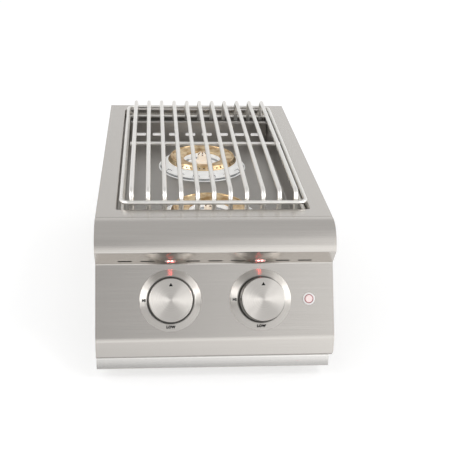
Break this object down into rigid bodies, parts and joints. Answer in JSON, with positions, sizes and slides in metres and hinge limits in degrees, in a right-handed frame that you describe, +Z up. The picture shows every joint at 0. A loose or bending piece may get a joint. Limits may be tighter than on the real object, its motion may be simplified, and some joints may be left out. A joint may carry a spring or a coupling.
{
  "type": "built-in side burner",
  "caption": "Drop-in gas side burner for an outdoor kitchen: a steel box with a rod grid over brass burners in line, and an angled front panel with knobs and a light button.",
  "frame": {"origin": "centre of the worktop cut-out, in the plane of the worktop that the flange rests on", "axes": "+X to the user's right along the flange's width, +Y to the back along its depth, +Z up"},
  "size_m": [0.333, 0.6431, 0.2415],
  "materials": {
    "brushed_steel": "brushed along the width",
    "sheet_steel": "mill finish",
    "grid_steel": "polished rod",
    "knob_steel": "fine brushed",
    "dark_chrome": "dark chromed",
    "post_steel": "satin",
    "shaft_steel": "turned",
    "pipe_steel": "black pipe",
    "screw_steel": "plain",
    "cast_aluminium": "die cast",
    "brass": "machined",
    "ceramic": "white",
    "black_plastic": "matt",
    "white_plastic": "gloss",
    "black_mark": "printed black",
    "lens_plastic": "clear, lit red",
    "red_plastic": "translucent, lit red",
    "pink_plastic": "translucent"
  },
  "bodies": {
    "housing": {"bezel_screws": "screw_steel", "body_screws": "screw_steel", "burner_cup_front": "cast_aluminium", "burner_cup_rear": "cast_aluminium", "burner_post_front": "post_steel", "burner_post_rear": "post_steel", "burner_tray": "sheet_steel", "button_housing": "white_plastic", "button_light_ring": "red_plastic", "button_nut": "black_plastic", "electrode_front": "ceramic", "electrode_rear": "ceramic", "floor_pan": "sheet_steel", "front_bulkhead": "sheet_steel", "front_panel": "brushed_steel", "gas_tube_front": "cast_aluminium", "gas_tube_rear": "cast_aluminium", "ignition_module": "black_plastic", "inlet_fitting": "brass", "jet_holder_front": "brass", "jet_holder_rear": "brass", "knob_bezel_left": "knob_steel", "knob_bezel_right": "knob_steel", "lamp_driver": "black_plastic", "lamp_housings": "black_plastic", "lamp_lenses": "lens_plastic", "lower_trim": "brushed_steel", "manifold": "pipe_steel", "manifold_brackets": "sheet_steel", "pipe_coupling": "pipe_steel", "rear_baffle": "sheet_steel", "rear_wall": "sheet_steel", "seam_screws": "screw_steel", "side_wall_left": "sheet_steel", "side_wall_right": "sheet_steel", "supply_pipe": "pipe_steel", "top_flange": "brushed_steel", "tray_hangers": "sheet_steel", "tray_screws": "screw_steel", "trim_screws": "screw_steel", "valve_body_left": "cast_aluminium", "valve_body_right": "cast_aluminium"},
    "valve_plug_left": {"valve_plug_left": "brass"},
    "knob_left": {"valve_stem_left": "shaft_steel", "knob_skirt_left": "dark_chrome", "knob_cap_left": "knob_steel", "knob_pointer_left": "black_mark"},
    "valve_plug_right": {"valve_plug_right": "brass"},
    "knob_right": {"valve_stem_right": "shaft_steel", "knob_skirt_right": "dark_chrome", "knob_cap_right": "knob_steel", "knob_pointer_right": "black_mark"},
    "button": {"button_cap": "pink_plastic"},
    "grid": {"grid_rings": "grid_steel", "grid_rods": "grid_steel"},
    "burner_ring_front": {"burner_ring_front": "brass"},
    "burner_ring_rear": {"burner_ring_rear": "brass"}
  },
  "joints": [
    {"name": "turn_left", "type": "hinge", "parent": "housing", "child": "valve_plug_left", "pos_m": [-0.0628, -0.32323, -0.10257], "axis": [0, -0.8735, 0.4868], "range_deg": [0, 180]},
    {"name": "push_left", "type": "slide", "parent": "valve_plug_left", "child": "knob_left", "axis": [0, 0.8735, -0.4868], "range_m": [0, 0.003], "stiffness_N_per_m": 1500, "springref_m": -0.005},
    {"name": "turn_right", "type": "hinge", "parent": "housing", "child": "valve_plug_right", "pos_m": [0.0628, -0.32323, -0.10257], "axis": [0, -0.8735, 0.4868], "range_deg": [0, 180]},
    {"name": "push_right", "type": "slide", "parent": "valve_plug_right", "child": "knob_right", "axis": [0, 0.8735, -0.4868], "range_m": [0, 0.003], "stiffness_N_per_m": 1500, "springref_m": -0.005},
    {"name": "button_push", "type": "slide", "parent": "housing", "child": "button", "axis": [0, 0.8735, -0.4868], "range_m": [0, 0.0015], "stiffness_N_per_m": 300, "springref_m": -0.002},
    {"name": "grid_lift", "type": "slide", "parent": "housing", "child": "grid", "axis": [0, 0, 1], "range_m": [0, 0.1]},
    {"name": "ring_lift_front", "type": "slide", "parent": "housing", "child": "burner_ring_front", "axis": [0, 0, 1], "range_m": [0, 0.012]},
    {"name": "ring_lift_rear", "type": "slide", "parent": "housing", "child": "burner_ring_rear", "axis": [0, 0, 1], "range_m": [0, 0.012]}
  ]
}
